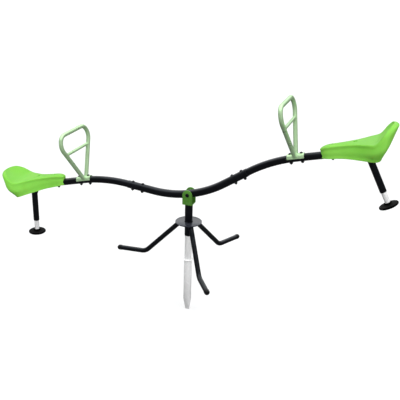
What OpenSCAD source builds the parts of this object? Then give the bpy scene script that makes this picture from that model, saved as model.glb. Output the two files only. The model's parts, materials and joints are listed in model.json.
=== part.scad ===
// Rotating garden seesaw: a gull-wing tube beam on a swivelling post, held by a
// ground socket and three bent legs, with a sprung bumper leg under each seat.
// Origin: on the post's axis at ground level. +X runs along the beam, +Z up.
// The beam stands as it rests, with its left end down.

/* [Stance] */
// Height of the pivot bolt above the ground
pivot_h = 324; // [310:1:345]
// Tilt of the beam at rest, left end down
rest_tilt = 13.6; // [12:0.1:15]

/* [Beam] */
// Outer diameter of the middle tube
centre_od = 35; // [35:0.5:40]
// Wall of every beam tube
tube_wall = 1.5; // [1:0.1:2]
// Radius of the dip over the pivot
dip_r = 495; // [480:5:510]
// Radius of the crest under each handle
crest_r = 655; // [620:5:680]
// Slope of the beam between dip and crest
gull_angle = 20; // [19:0.5:21]
// Distance from the pivot to the end of each arm
arm_end = 820; // [818:1:826]

/* [Handles] */
// Distance from the pivot to each handle
handle_x = 503; // [498:1:508]
// Diameter of the handle tube
handle_d = 19; // [16:0.5:21]
// Diameter of the crossbar
crossbar_d = 14; // [12:0.5:16]
// Height of the crossbar over the middle of the arm tube
crossbar_h = 149; // [140:1:154]
// Height of the top bar over the middle of the arm tube
handle_h = 237; // [230:1:245]
// Radius of the handle's top corners
handle_corner_r = 45; // [40:1:48]

/* [Seats] */
// Distance from the pivot to each seat's nose
seat_nose_x = 608; // [602:1:612]
// Thickness of the moulded shell
seat_wall = 4; // [3:0.5:5]

/* [Bumper legs] */
// Distance from the pivot to the top of each bumper leg
bumper_x = 792; // [788:1:796]
// Outer diameter of the bumper tube
bumper_od = 28; // [27:0.5:30]
// Length of the bumper tube from the middle of the arm
bumper_len = 180; // [170:1:185]
// Diameter of the plunger tube
plunger_d = 22; // [21:0.5:22.5]
// Travel of the plunger
plunger_travel = 30; // [20:1:35]
// Diameter of the rubber foot
foot_d = 82; // [76:1:90]

/* [Swivel and base] */
// Outer diameter of the swivel post and of the sleeve under the disc
post_od = 35; // [34:0.5:36]
// Height of the disc's top face above the ground
disc_top = 191; // [180:1:200]
// Diameter of the disc
disc_d = 120; // [110:1:130]
// Height of the sleeve's lower end above the ground
sleeve_bottom = 124; // [115:1:130]
// Outer diameter of the ground socket
socket_od = 36; // [35.5:0.5:42]
// Length of the ground socket's tube below the ground
socket_len = 205; // [190:1:220]
// Diameter of the tripod legs
leg_d = 22; // [20:0.5:24]
// Distance from the post's axis to the tip of each leg
leg_reach = 346; // [330:1:360]
// Slope of the legs
leg_slope = 46; // [44:0.5:48]
// Direction of the first leg, counter-clockwise from +X
leg_turn = 184; // [180:1:188]

/* [Hidden] */
$fn = 48;

BLACK = "#1b1c20";
LIME = "#7fd13b";
PALE_GREEN = "#a9d99a";
YOKE_GREEN = "#4f8f35";
ZINC = "#d5d8da";
NYLON = "#e8e6dc";
RUBBER = "#161616";

// Beam path, seen from the front, measured from the pivot
arm_od = centre_od - 2 * tube_wall - 0.2;
slope_x0 = dip_r * sin(gull_angle);
slope_z0 = dip_r * (1 - cos(gull_angle));
crest_x0 = 290;
crest_z0 = slope_z0 + (crest_x0 - slope_x0) * tan(gull_angle);
arm_x0 = crest_x0 + crest_r * sin(gull_angle);
arm_z = crest_z0 + crest_r * (1 - cos(gull_angle));
centre_end_x = 286;
arm_start_x = 194;
joint_xs = [220, 265];

// Bends are drawn a hair wider and the straights run a little way into them,
// so that the pieces join as one solid
bend_swell = 0.1;
lap = 0.5;

// Fasteners
bolt_d = 8;
hole_d = 8.4;
head_d = 14;
head_h = 5;
nut_af = 13;
nut_h = 4.5;
nut_dome_d = 9.5;
pivot_bolt_d = 10;
pivot_head_d = 18;
pivot_nut_af = 16;

// Pivot
sleeve_od = 18;
bush_od = 14;
bush_flange_d = 25;
bush_flange_t = 2.6;
running_gap = 0.06;
yoke_in = 2 * (centre_od / 2 + 0.5 + bush_flange_t + 0.3);
yoke_t = 4;
yoke_w = 46;
yoke_drop = 46;

// Swivel
spindle_od = 25.4;
spindle_wall = 2.5;
spindle_bottom = 150;
spindle_top = 258;
disc_t = 4;
washer_t = 2;
post_bottom = disc_top + washer_t;
post_top = pivot_h - yoke_drop;
inner_od = post_od - 2 * tube_wall - 0.2;
inner_top = disc_top - disc_t - 4;
inner_depth = 180;
flange_t = 2;
point_len = 57;
sleeve_bolt_z = sleeve_bottom + 14;

// Tripod legs, seen side on: distance from the post, height
leg_z = leg_d / 2;
leg_bend_r = 45;
leg_knee_x = 206;
leg_bend_x = leg_knee_x + leg_bend_r * tan(leg_slope / 2);
socket_end = 62;
leg_wall = 1.5;
leg_turns = [leg_turn, leg_turn + 120, leg_turn + 240];
leg_bore = leg_d - 2 * leg_wall;
cap_d = leg_d + 2;

// Handle, in the plane across the beam: y, height over the arm's middle
handle_lean = 33;
corner_y = 77;
// The legs stop this far above the arm's middle, inside the saddle
leg_stop = 8;
corner_z = handle_h - handle_corner_r;
saddle_r = arm_od / 2 + 0.1;
saddle_t = 3;
saddle_len = 72;
saddle_bolt_xs = [handle_x - 21, handle_x + 27];

// Seat bolts
seat_bolt_xs = [655, 752];

// Bumper legs, measured down the leg from the middle of the arm
ground_len = pivot_h - bumper_x * sin(rest_tilt) + arm_z * cos(rest_tilt);
foot_t = 10;
piston_top = 66 + plunger_travel;
piston_len = 14;
collar_len = 12;
spring_top = 24;

// ---- helpers -------------------------------------------------------------

module ring(od, id) {
    difference() {
        circle(d = od);
        circle(d = id);
    }
}

module tube(len, od, id) {
    linear_extrude(len) ring(od, id);
}

// Bar bent in the XZ plane about the origin, angles from +X towards +Z
module bent_bar(r, from, to, d) {
    rotate([90, 0, 0])
        rotate([0, 0, from])
            rotate_extrude(angle = to - from, $fn = 96)
                translate([r, 0]) circle(d = d + bend_swell);
}

// Round-headed bolt: the head's seat is at z = 0 and the shank runs down
module dome_bolt(d, len, head, h) {
    dome_r = (head * head / 4 + h * h) / (2 * h);
    translate([0, 0, -len]) cylinder(d = d, h = len);
    intersection() {
        cylinder(d = head, h = h);
        translate([0, 0, h - dome_r]) sphere(r = dome_r);
    }
}

// Cap nut: its seat is at z = 0 and it hangs down over the bolt's end
module cap_nut(af, h, dome, bore) {
    difference() {
        union() {
            translate([0, 0, -h]) cylinder(d = af / cos(30), h = h, $fn = 6);
            translate([0, 0, -h]) sphere(d = dome);
        }
        translate([0, 0, -h]) cylinder(d = bore + 0.2, h = h + 1);
    }
}

module beam_frame() {
    translate([0, 0, pivot_h]) rotate([0, -rest_tilt, 0]) children();
}

module left_side() {
    mirror([1, 0, 0]) children();
}

module both_sides() {
    children();
    left_side() children();
}

// Frame on the sloped stretch of the beam, local +Z square to the tube
module at_joint(x) {
    translate([x, 0, slope_z0 + (x - slope_x0) * tan(gull_angle)])
        rotate([0, -gull_angle, 0]) children();
}

// Frame of the right bumper leg, local +Z down the leg
module bumper_frame() {
    translate([bumper_x, 0, arm_z]) rotate([0, 180 - rest_tilt, 0]) children();
}

// ---- base ----------------------------------------------------------------

module ground_socket() {
    color(ZINC) translate([0, 0, -socket_len])
        tube(socket_len, socket_od, inner_od + 0.2);
}

// Crimped end of the socket, drawn out to a flat blade
module socket_point() {
    color(ZINC) hull() {
        translate([0, 0, -socket_len - 1])
            cylinder(d = socket_od, h = 1, $fn = 32);
        translate([-9, -2, -socket_len - point_len]) cube([18, 4, 1]);
    }
}

module socket_flange() {
    color(ZINC) tube(flange_t, socket_od + 12, inner_od + 0.4);
}

module centre_tube() {
    color(ZINC) difference() {
        translate([0, 0, -inner_depth])
            tube(inner_top + inner_depth, inner_od, inner_od - 2 * tube_wall);
        sleeve_bolt_hole();
    }
}

module sleeve_bolt_frame() {
    translate([0, 0, sleeve_bolt_z])
        rotate([0, 0, leg_turn - 60]) rotate([0, 90, 0]) children();
}

module sleeve_bolt_hole() {
    sleeve_bolt_frame() cylinder(d = hole_d, h = 2 * post_od, center = true);
}

module base_sleeve() {
    color(BLACK) difference() {
        translate([0, 0, sleeve_bottom])
            tube(disc_top - disc_t - sleeve_bottom, post_od,
                 post_od - 2 * tube_wall);
        sleeve_bolt_hole();
    }
}

module sleeve_bolt() {
    color(BLACK) sleeve_bolt_frame() translate([0, 0, post_od / 2])
        dome_bolt(bolt_d, post_od + nut_h, head_d, head_h);
}

module sleeve_nut() {
    color(BLACK) sleeve_bolt_frame() translate([0, 0, -post_od / 2])
        cap_nut(nut_af, nut_h, nut_dome_d, bolt_d);
}

module base_disc() {
    color(BLACK) translate([0, 0, disc_top - disc_t])
        tube(disc_t, disc_d, spindle_od, $fn = 96);
}

// Straight upper stretch of a leg, from the knee's far end upwards
module leg_slope_frame() {
    translate([leg_bend_x - leg_bend_r * sin(leg_slope), 0,
               leg_z + leg_bend_r * (1 - cos(leg_slope))])
        rotate([0, leg_slope - 90, 0]) children();
}

slope_len = (disc_top - disc_t - leg_z - leg_bend_r * (1 - cos(leg_slope)))
    / sin(leg_slope);

module leg_socket() {
    difference() {
        leg_slope_frame() translate([0, 0, slope_len - socket_end])
            tube(socket_end + leg_d, leg_d, leg_bore);
        translate([-leg_reach / 2, -leg_reach / 2, disc_top - disc_t])
            cube([leg_reach, leg_reach, leg_reach]);
        cylinder(d = post_od, h = pivot_h);
    }
}

module leg_sockets() {
    color(BLACK) for (turn = leg_turns) rotate([0, 0, turn]) leg_socket();
}

// Path of a leg below its socket, as a solid bar
module leg_bar(d) {
    leg_slope_frame() translate([0, 0, -lap])
        cylinder(d = d, h = slope_len - socket_end + lap);
    translate([leg_bend_x, 0, leg_z + leg_bend_r])
        bent_bar(leg_bend_r, -90 - leg_slope, -90, d);
    translate([leg_bend_x - lap, 0, leg_z]) rotate([0, 90, 0])
        cylinder(d = d, h = leg_reach - cap_d / 2 - leg_bend_x + lap);
}

module base_leg(turn) {
    color(BLACK) rotate([0, 0, turn]) difference() {
        leg_bar(leg_d);
        leg_bar(leg_bore);
    }
}

// Spigot that joins each leg to its socket
module leg_spigots() {
    color(BLACK) for (turn = leg_turns) rotate([0, 0, turn])
        leg_slope_frame() translate([0, 0, slope_len - socket_end - 26])
            tube(52, leg_bore - 0.2, leg_bore - 3);
}

// Moulded cap with a round end, flattened where it stands on the ground
module leg_cap() {
    plug_d = leg_bore - 0.1;
    intersection() {
        translate([leg_reach - cap_d / 2, 0, leg_z]) rotate([0, 90, 0])
            rotate_extrude() {
                intersection() {
                    circle(d = cap_d);
                    square(cap_d);
                }
                translate([leg_z, -10]) square([cap_d / 2 - leg_z, 10]);
                translate([0, -18]) square([plug_d / 2, 18]);
            }
        translate([0, -cap_d, 0]) cube([2 * leg_reach, 2 * cap_d, 2 * cap_d]);
    }
}

module leg_caps() {
    color(BLACK) for (turn = leg_turns) rotate([0, 0, turn]) leg_cap();
}

module spindle() {
    color(ZINC) translate([0, 0, spindle_bottom])
        tube(spindle_top - spindle_bottom, spindle_od,
             spindle_od - 2 * spindle_wall);
}

module spindle_plug() {
    color(ZINC) difference() {
        translate([0, 0, spindle_top - 20])
            cylinder(d = spindle_od - 2 * spindle_wall, h = 20);
        translate([0, 0, spindle_top - 16])
            cylinder(d = pivot_bolt_d + 0.2, h = 20);
    }
}

retainer_seat = post_top + yoke_t + 0.4;

module retaining_washer() {
    color(ZINC) translate([0, 0, retainer_seat]) tube(1.5, 24, pivot_bolt_d + 0.4);
}

module retaining_bolt() {
    color(ZINC) translate([0, 0, retainer_seat + 1.5])
        dome_bolt(pivot_bolt_d, retainer_seat + 1.5 - spindle_top + 14, 18, 5);
}

// ---- swivel --------------------------------------------------------------

module swivel_post() {
    color(BLACK) translate([0, 0, post_bottom])
        tube(post_top - post_bottom, post_od, post_od - 2 * tube_wall);
}

module thrust_washer() {
    color(BLACK) translate([0, 0, disc_top + 0.05])
        tube(washer_t - 0.1, post_od + 2, spindle_od + 1);
}

module spindle_bush(z) {
    color(NYLON) translate([0, 0, z])
        tube(22, post_od - 2 * tube_wall, spindle_od + 2 * running_gap);
}

module upper_spindle_bush() { spindle_bush(spindle_top - 24); }

module lower_spindle_bush() { spindle_bush(post_bottom); }

// Ear of the yoke: a plate with a round top around the pivot bolt
module yoke_ear() {
    rotate([90, 0, 0]) linear_extrude(yoke_t) difference() {
        union() {
            intersection() {
                circle(d = yoke_w);
                translate([-yoke_w, 0]) square(2 * yoke_w);
            }
            translate([-yoke_w / 2, -yoke_drop]) square([yoke_w, yoke_drop]);
        }
        circle(d = pivot_bolt_d + 0.3);
    }
}

module pivot_yoke() {
    color(YOKE_GREEN) translate([0, 0, pivot_h]) {
        translate([0, -yoke_in / 2, 0]) yoke_ear();
        translate([0, yoke_in / 2 + yoke_t, 0]) yoke_ear();
        difference() {
            translate([-yoke_w / 2, -yoke_in / 2, -yoke_drop])
                cube([yoke_w, yoke_in, yoke_t]);
            translate([0, 0, -yoke_drop - 1])
                cylinder(d = pivot_bolt_d + 1, h = yoke_t + 2);
        }
    }
}

module pivot_bolt() {
    color(BLACK) translate([0, 0, pivot_h]) rotate([90, 0, 0])
        translate([0, 0, yoke_in / 2 + yoke_t])
            dome_bolt(pivot_bolt_d, yoke_in + 2 * yoke_t + 8, pivot_head_d, 6);
}

module pivot_nut() {
    color(BLACK) translate([0, yoke_in / 2 + yoke_t, pivot_h])
        rotate([90, 0, 0])
            cap_nut(pivot_nut_af, 8, 13.5, pivot_bolt_d);
}

// ---- beam ----------------------------------------------------------------

// Path of the middle tube, as a solid bar
module centre_bar(d) {
    len = (centre_end_x - slope_x0) / cos(gull_angle);
    translate([0, 0, dip_r]) bent_bar(dip_r, -90 - gull_angle, -90 + gull_angle, d);
    both_sides() translate([slope_x0, 0, slope_z0])
        rotate([0, 90 - gull_angle, 0]) translate([0, 0, -lap])
            cylinder(d = d, h = len + lap);
}

module beam_centre() {
    color(BLACK) beam_frame() difference() {
        centre_bar(centre_od);
        centre_bar(centre_od - 2 * tube_wall);
        rotate([90, 0, 0]) cylinder(d = sleeve_od, h = 2 * centre_od, center = true);
        both_sides() joint_holes();
    }
}

module joint_holes() {
    for (x = joint_xs) at_joint(x)
        cylinder(d = hole_d, h = 2 * centre_od, center = true);
}

module pivot_sleeve() {
    color(BLACK) beam_frame() rotate([90, 0, 0])
        translate([0, 0, -centre_od / 2 - 0.5]) tube(centre_od + 1, sleeve_od, bush_od);
}

module pivot_bush() {
    bore = pivot_bolt_d + 2 * running_gap;
    translate([0, 0, centre_od / 2 + 0.5]) tube(bush_flange_t, bush_flange_d, bore);
    translate([0, 0, centre_od / 2 - 13.5]) tube(14, bush_od, bore);
}

module pivot_bushes() {
    color(NYLON) beam_frame() for (turn = [90, -90])
        rotate([turn, 0, 0]) pivot_bush();
}

// Path of an arm from inside the middle tube out to the seat, as a solid bar
module arm_bar(d) {
    at_joint(arm_start_x) rotate([0, 90, 0])
        cylinder(d = d, h = (crest_x0 - arm_start_x) / cos(gull_angle) + lap);
    translate([arm_x0, 0, arm_z - crest_r]) bent_bar(crest_r, 90, 90 + gull_angle, d);
    translate([arm_x0 - lap, 0, arm_z]) rotate([0, 90, 0])
        cylinder(d = d, h = arm_end - arm_x0 + lap);
}

module arm() {
    difference() {
        arm_bar(arm_od);
        arm_bar(arm_od - 2 * tube_wall);
        joint_holes();
        for (x = concat(saddle_bolt_xs, seat_bolt_xs))
            translate([x, 0, arm_z]) cylinder(d = hole_d, h = 60, center = true);
    }
}

module beam_left() { color(BLACK) beam_frame() left_side() arm(); }

module beam_right() { color(BLACK) beam_frame() arm(); }

module joint_bolts() {
    color(BLACK) beam_frame() both_sides() for (x = joint_xs) at_joint(x)
        translate([0, 0, centre_od / 2])
            dome_bolt(bolt_d, centre_od + nut_h, head_d, head_h);
}

module joint_nuts() {
    color(BLACK) beam_frame() both_sides() for (x = joint_xs) at_joint(x)
        translate([0, 0, -centre_od / 2])
            cap_nut(nut_af, nut_h, nut_dome_d, bolt_d);
}

module arm_plugs() {
    color(BLACK) beam_frame() both_sides()
        translate([arm_end, 0, arm_z]) rotate([0, 90, 0]) {
            cylinder(d = arm_od, h = 3);
            translate([0, 0, -14]) cylinder(d = arm_od - 2 * tube_wall, h = 14);
        }
}

// ---- handles -------------------------------------------------------------

// Leg and corner of the loop, seen along the beam
module handle_side(d, extra) {
    leg_top_y = corner_y + handle_corner_r * cos(handle_lean);
    leg_top_z = corner_z - handle_corner_r * sin(handle_lean);
    translate([leg_top_y, 0, leg_top_z]) rotate([0, 180 + handle_lean, 0])
        translate([0, 0, -lap])
            cylinder(d = d, h = leg_top_z / cos(handle_lean) - leg_stop + lap + extra);
    translate([corner_y, 0, corner_z])
        bent_bar(handle_corner_r, -handle_lean, 90, d);
}

module handle_loop(d, extra) {
    handle_side(d, extra);
    mirror([1, 0, 0]) handle_side(d, extra);
    translate([-corner_y - lap, 0, handle_h]) rotate([0, 90, 0])
        cylinder(d = d, h = 2 * (corner_y + lap));
}

module handle() {
    translate([handle_x, 0, arm_z]) rotate([0, 0, 90]) difference() {
        union() {
            handle_loop(handle_d, 0);
            translate([-crossbar_reach, 0, crossbar_h]) rotate([0, 90, 0])
                cylinder(d = crossbar_d, h = 2 * crossbar_reach);
        }
        handle_loop(handle_d - 3, 6);
        rotate([90, 0, 0])
            cylinder(r = saddle_r + saddle_t, h = saddle_len, center = true);
    }
}

// Half the crossbar's length, to the middle of the legs
crossbar_reach = corner_y + handle_corner_r * cos(handle_lean)
    - (corner_z - handle_corner_r * sin(handle_lean) - crossbar_h)
    * tan(handle_lean);

module handle_left() { color(PALE_GREEN) beam_frame() left_side() handle(); }

module handle_right() { color(PALE_GREEN) beam_frame() handle(); }

// Curved plate over the arm, welded to the feet of the handle
module saddle() {
    difference() {
        translate([handle_x + 3 - saddle_len / 2, 0, arm_z]) rotate([0, 90, 0])
            tube(saddle_len, 2 * (saddle_r + saddle_t), 2 * saddle_r);
        translate([handle_x - saddle_len, -saddle_len / 2, arm_z - saddle_len])
            cube([2 * saddle_len, saddle_len, saddle_len]);
        for (x = saddle_bolt_xs)
            translate([x, 0, arm_z]) cylinder(d = hole_d, h = 60);
    }
}

module saddle_left() { color(PALE_GREEN) beam_frame() left_side() saddle(); }

module saddle_right() { color(PALE_GREEN) beam_frame() saddle(); }

module handle_bolts() {
    head_seat = arm_z + saddle_r + saddle_t;
    color(BLACK) beam_frame() both_sides() for (x = saddle_bolt_xs)
        translate([x, 0, head_seat])
            dome_bolt(bolt_d, head_seat - nut_seat(x) + nut_h, head_d, head_h);
}

// How far the crest has dropped below the straight stretch at a place along it
function crest_drop(x) =
    x < arm_x0 ? crest_r - sqrt(pow(crest_r, 2) - pow(arm_x0 - x, 2)) : 0;

// Height of a nut's seat, clear of the arm's curved underside
function nut_seat(x) =
    arm_z - arm_od / 2 - crest_drop(x - nut_af / 2 / cos(30)) - 0.05;

module handle_nuts() {
    color(BLACK) beam_frame() both_sides() for (x = saddle_bolt_xs)
        translate([x, 0, nut_seat(x)]) cap_nut(nut_af, nut_h, nut_dome_d, bolt_d);
}

// ---- seats ---------------------------------------------------------------

// Half outline of the seat from nose to tail, measured from the seat's nose
// and the arm's middle. Rim of the sitting surface: x, y, z
rim = [
    [6, 0, 31], [7, 11, 31], [34, 22, 37], [94, 27, 39], [149, 40, 40],
    [194, 64, 41], [234, 83, 44], [267, 71, 75], [290, 46, 94], [301, 0, 99]
];
// How far the shell rolls outwards below the rim, and how far it drops there
roll = [
    [3, 5], [3, 5], [3, 5], [3, 5], [4, 5],
    [5, 6], [8, 7], [15, 9], [17, 11], [18, 12]
];
// How far the skirt bulges halfway down
bulge = [0, 0, 1, 1, 2, 4, 11, 21, 11, 4];
// Lower edge of the skirt: x, y, z
hem = [
    [7, 0, -9], [8, 15, -9], [34, 30, -10], [94, 39, -13], [144, 56, -18],
    [184, 75, -22], [220, 90, -26], [238, 77, -28], [241, 42, -28], [242, 0, -28]
];
// How far the sitting surface stands over the rim along its middle
crown = [0, 2, 4, 4, 3, 1, 0, -12, -10, 0];

spans = len(rim) - 1;
steps = 4;
rows = spans * steps;
across = 8;

function pick(list, i) = list[max(0, min(len(list) - 1, i))];

// Smooth curve through a list of points or numbers
function curve(list, t) =
    let(i = min(floor(t), len(list) - 2), f = t - i,
        p0 = pick(list, i - 1), p1 = pick(list, i),
        p2 = pick(list, i + 1), p3 = pick(list, i + 2))
    0.5 * (2 * p1 + (p2 - p0) * f + (2 * p0 - 5 * p1 + 4 * p2 - p3) * f * f
        + (3 * p1 - p0 - 3 * p2 + p3) * f * f * f);

// The ends of each outline cross the middle square on
function outline(list) =
    let(n = len(list), a = list[1], b = list[n - 2])
    concat([[a[0], -a[1], a[2]]], list, [[b[0], -b[1], b[2]]]);

function outline_at(list, row) =
    let(wide = outline(list)) curve(wide, 1 + row / steps);

// Outward direction of an outline, seen from above
function outward(list, row) =
    let(a = outline_at(list, max(0.02, row) - 0.02),
        b = outline_at(list, min(rows - 0.02, row) + 0.02),
        d = [b[1] - a[1], a[0] - b[0]])
    row == 0 ? [-1, 0] : row == rows ? [1, 0] : -d / norm(d);

function moved(p, n, out, down) = [p[0] + n[0] * out, p[1] + n[1] * out, p[2] - down];

// Outer rings from the hem up to the rim, one point per row
function ring_point(level, row, inset) =
    let(r = outline_at(rim, row), h = outline_at(hem, row),
        n = outward(rim, row), nh = outward(hem, row),
        k = curve(roll, row / steps), out = k[0], down = k[1])
    level == 0 ? moved(h, nh, -inset, 0)
    : level == 1 ? moved((h + moved(r, n, out, down)) / 2, n,
                         curve(bulge, row / steps) - inset, 0)
    : level == 2 ? moved(r, n, out - inset, down + (inset > 0 ? inset * 0.4 : 0))
    : level == 3 ? moved(r, n, out * 0.72 - inset * 0.8, down * 0.3 + inset * 0.7)
    : moved(r, n, -inset * 0.3, inset);

// Sitting surface between the two rims
function top_point(row, side, inset) =
    let(p = ring_point(4, row, inset), f = side / across * 2 - 1,
        c = curve(crown, row / steps))
    [p[0], p[1] * f, p[2] + c * (1 - f * f)];

levels = 4;

// Points of one skin: skirt rings on both sides, then the sitting surface
function skin(inset) = concat(
    [for (level = [0 : levels - 1]) for (row = [0 : rows])
        ring_point(level, row, inset)],
    [for (level = [0 : levels - 1]) for (row = [0 : rows])
        let(p = ring_point(level, row, inset)) [p[0], -p[1], p[2]]],
    [for (row = [0 : rows]) for (side = [0 : across]) top_point(row, side, inset)]
);

ring_n = rows + 1;
skirt_n = levels * ring_n;
skin_n = 2 * skirt_n + ring_n * (across + 1);

function skirt_id(side, level, row) = side * skirt_n + level * ring_n + row;
function top_id(row, side) = 2 * skirt_n + row * (across + 1) + side;
// Rim points are the outer columns of the sitting surface
function edge_id(side, level, row) = level < levels
    ? skirt_id(side, level, row) : top_id(row, side == 0 ? across : 0);

function quad(a, b, c, d, flip) = flip ? [d, c, b, a] : [a, b, c, d];

module seat_shell() {
    skirt_faces = [for (side = [0, 1]) for (level = [0 : levels - 1])
        for (row = [0 : rows - 1]) quad(edge_id(side, level, row),
            edge_id(side, level, row + 1), edge_id(side, level + 1, row + 1),
            edge_id(side, level + 1, row), side == 1)];
    top_faces = [for (row = [0 : rows - 1]) for (side = [0 : across - 1])
        [top_id(row, side), top_id(row, side + 1),
         top_id(row + 1, side + 1), top_id(row + 1, side)]];
    outer = concat(skirt_faces, top_faces);
    inner = [for (f = outer) [for (i = [3 : -1 : 0]) f[i] + skin_n]];
    hem_faces = [for (side = [0, 1]) for (row = [0 : rows - 1])
        quad(skirt_id(side, 0, row + 1), skirt_id(side, 0, row),
             skirt_id(side, 0, row) + skin_n, skirt_id(side, 0, row + 1) + skin_n,
             side == 1)];
    polyhedron(concat(skin(0), skin(seat_wall)), concat(outer, inner, hem_faces));
}

// Bosses under the sitting surface, and the recesses for bolt heads and caps
boss_d = 27;
boss_top = 39;
recess_d = 19;
recess_floor = 33;
cap_top = 40;
seat_head_h = 4;

module seat() {
    difference() {
        union() {
            translate([seat_nose_x, 0, arm_z]) seat_shell();
            for (x = seat_bolt_xs)
                translate([x, 0, arm_z]) cylinder(d = boss_d, h = boss_top);
        }
        translate([seat_nose_x - 40, 0, arm_z]) rotate([0, 90, 0])
            cylinder(d = arm_od + 1, h = arm_end - seat_nose_x + 40);
        for (x = seat_bolt_xs) translate([x, 0, arm_z]) {
            cylinder(d = hole_d, h = 100);
            translate([0, 0, recess_floor]) cylinder(d = recess_d, h = 60);
        }
    }
}

module seat_left() { color(LIME) beam_frame() left_side() seat(); }

module seat_right() { color(LIME) beam_frame() seat(); }

module seat_bolts() {
    color(BLACK) beam_frame() both_sides() for (x = seat_bolt_xs)
        translate([x, 0, arm_z + recess_floor])
            dome_bolt(bolt_d, recess_floor + arm_od / 2 + nut_h, head_d, seat_head_h);
}

// Snap caps over the heads of the seat bolts
module seat_caps() {
    cap_od = recess_d - 0.2;
    color(LIME) beam_frame() both_sides() for (x = seat_bolt_xs)
        translate([x, 0, arm_z]) {
            translate([0, 0, recess_floor])
                tube(cap_top - recess_floor - 2, cap_od, head_d + 1);
            translate([0, 0, cap_top - 2]) cylinder(d = cap_od, h = 2);
        }
}

module seat_nuts() {
    color(BLACK) beam_frame() both_sides() for (x = seat_bolt_xs)
        translate([x, 0, arm_z - arm_od / 2])
            cap_nut(nut_af, nut_h, nut_dome_d, bolt_d);
}

// ---- bumper legs ---------------------------------------------------------

module bumper_tube() {
    difference() {
        bumper_frame() tube(bumper_len, bumper_od, bumper_od - 2 * tube_wall);
        translate([bumper_x - 100, 0, arm_z]) rotate([0, 90, 0])
            cylinder(d = arm_od, h = 200);
    }
}

module bumper_tube_left() {
    color(BLACK) beam_frame() left_side() bumper_tube();
}

module bumper_tube_right() { color(BLACK) beam_frame() bumper_tube(); }

// Plate welded between the arm and the inner side of each leg
module bumper_gussets() {
    color(BLACK) beam_frame() both_sides() difference() {
        translate([bumper_x, 2, arm_z]) rotate([90, 0, 0]) linear_extrude(4)
            polygon([[-31, -10], [10, -10], [10, -44], [-6, -44]]);
        translate([bumper_x - 100, 0, arm_z]) rotate([0, 90, 0])
            cylinder(d = arm_od, h = 200);
        bumper_frame() cylinder(d = bumper_od, h = bumper_len);
    }
}

// Round-nosed guide pressed into the tube's lower end
module bumper_collars() {
    bore = plunger_d + 2 * running_gap;
    color(BLACK) beam_frame() both_sides() bumper_frame()
        translate([0, 0, bumper_len]) rotate_extrude() difference() {
            union() {
                translate([0, -collar_len])
                    square([bumper_od / 2 - tube_wall, collar_len]);
                square([bumper_od / 2 - 3, 4]);
                square([bumper_od / 2, 1]);
                intersection() {
                    translate([bumper_od / 2 - 3, 1]) circle(r = 3);
                    translate([bumper_od / 2 - 3, 1]) square(3);
                }
            }
            translate([-1, -50]) square([bore / 2 + 1, 100]);
        }
}

module plunger() {
    bumper_frame() translate([0, 0, piston_top])
        tube(ground_len - foot_t + 2 - piston_top, plunger_d, plunger_d - 3);
}

module plunger_left() { color(ZINC) beam_frame() left_side() plunger(); }

module plunger_right() { color(ZINC) beam_frame() plunger(); }

// Guide and stop on the plunger's hidden end
module piston() {
    bumper_frame() translate([0, 0, piston_top]) {
        tube(piston_len, bumper_od - 2 * tube_wall - 0.3, plunger_d);
        translate([0, 0, -3]) cylinder(d = bumper_od - 2 * tube_wall - 0.3, h = 3);
    }
}

module piston_left() { color(NYLON) beam_frame() left_side() piston(); }

module piston_right() { color(NYLON) beam_frame() piston(); }

module foot() {
    rim_r = foot_t / 2;
    bumper_frame() translate([0, 0, ground_len - foot_t]) rotate_extrude($fn = 72)
        difference() {
            union() {
                square([foot_d / 2 - rim_r, foot_t]);
                translate([foot_d / 2 - rim_r, rim_r]) intersection() {
                    circle(r = rim_r);
                    translate([0, -rim_r]) square(2 * rim_r);
                }
                polygon([[0, 0], [0, -9], [15, -9], [17, -3], [foot_d / 2 - 12, 0]]);
            }
            translate([-1, -20]) square([plunger_d / 2 + 1, 22]);
        }
}

module foot_left() { color(RUBBER) beam_frame() left_side() foot(); }

module foot_right() { color(RUBBER) beam_frame() foot(); }

// Coil spring between the arm and the piston
spring_r = 9.5;
wire_r = 1.3;
spring_turns = 7;
turn_steps = 12;
wire_sides = 6;
spring_n = spring_turns * turn_steps;
spring_len = piston_top - 3 - spring_top - 2 * wire_r - 0.4;

function spring_point(i, k) =
    let(a = 360 * i / turn_steps, b = 360 * k / wire_sides,
        r = spring_r + wire_r * cos(b))
    [r * cos(a), r * sin(a),
     spring_top + wire_r + 0.2 + spring_len * i / spring_n + wire_r * sin(b)];

module bumper_spring() {
    points = [for (i = [0 : spring_n]) for (k = [0 : wire_sides - 1])
        spring_point(i, k)];
    sides = [for (i = [0 : spring_n - 1]) for (k = [0 : wire_sides - 1])
        let(m = (k + 1) % wire_sides)
        [i * wire_sides + k, i * wire_sides + m,
         (i + 1) * wire_sides + m, (i + 1) * wire_sides + k]];
    ends = [[for (k = [wire_sides - 1 : -1 : 0]) k],
            [for (k = [0 : wire_sides - 1]) spring_n * wire_sides + k]];
    bumper_frame() polyhedron(points, concat(sides, ends));
}

module bumper_spring_left() {
    color(ZINC) beam_frame() left_side() bumper_spring();
}

module bumper_spring_right() { color(ZINC) beam_frame() bumper_spring(); }

// ---- nodes ---------------------------------------------------------------

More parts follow.
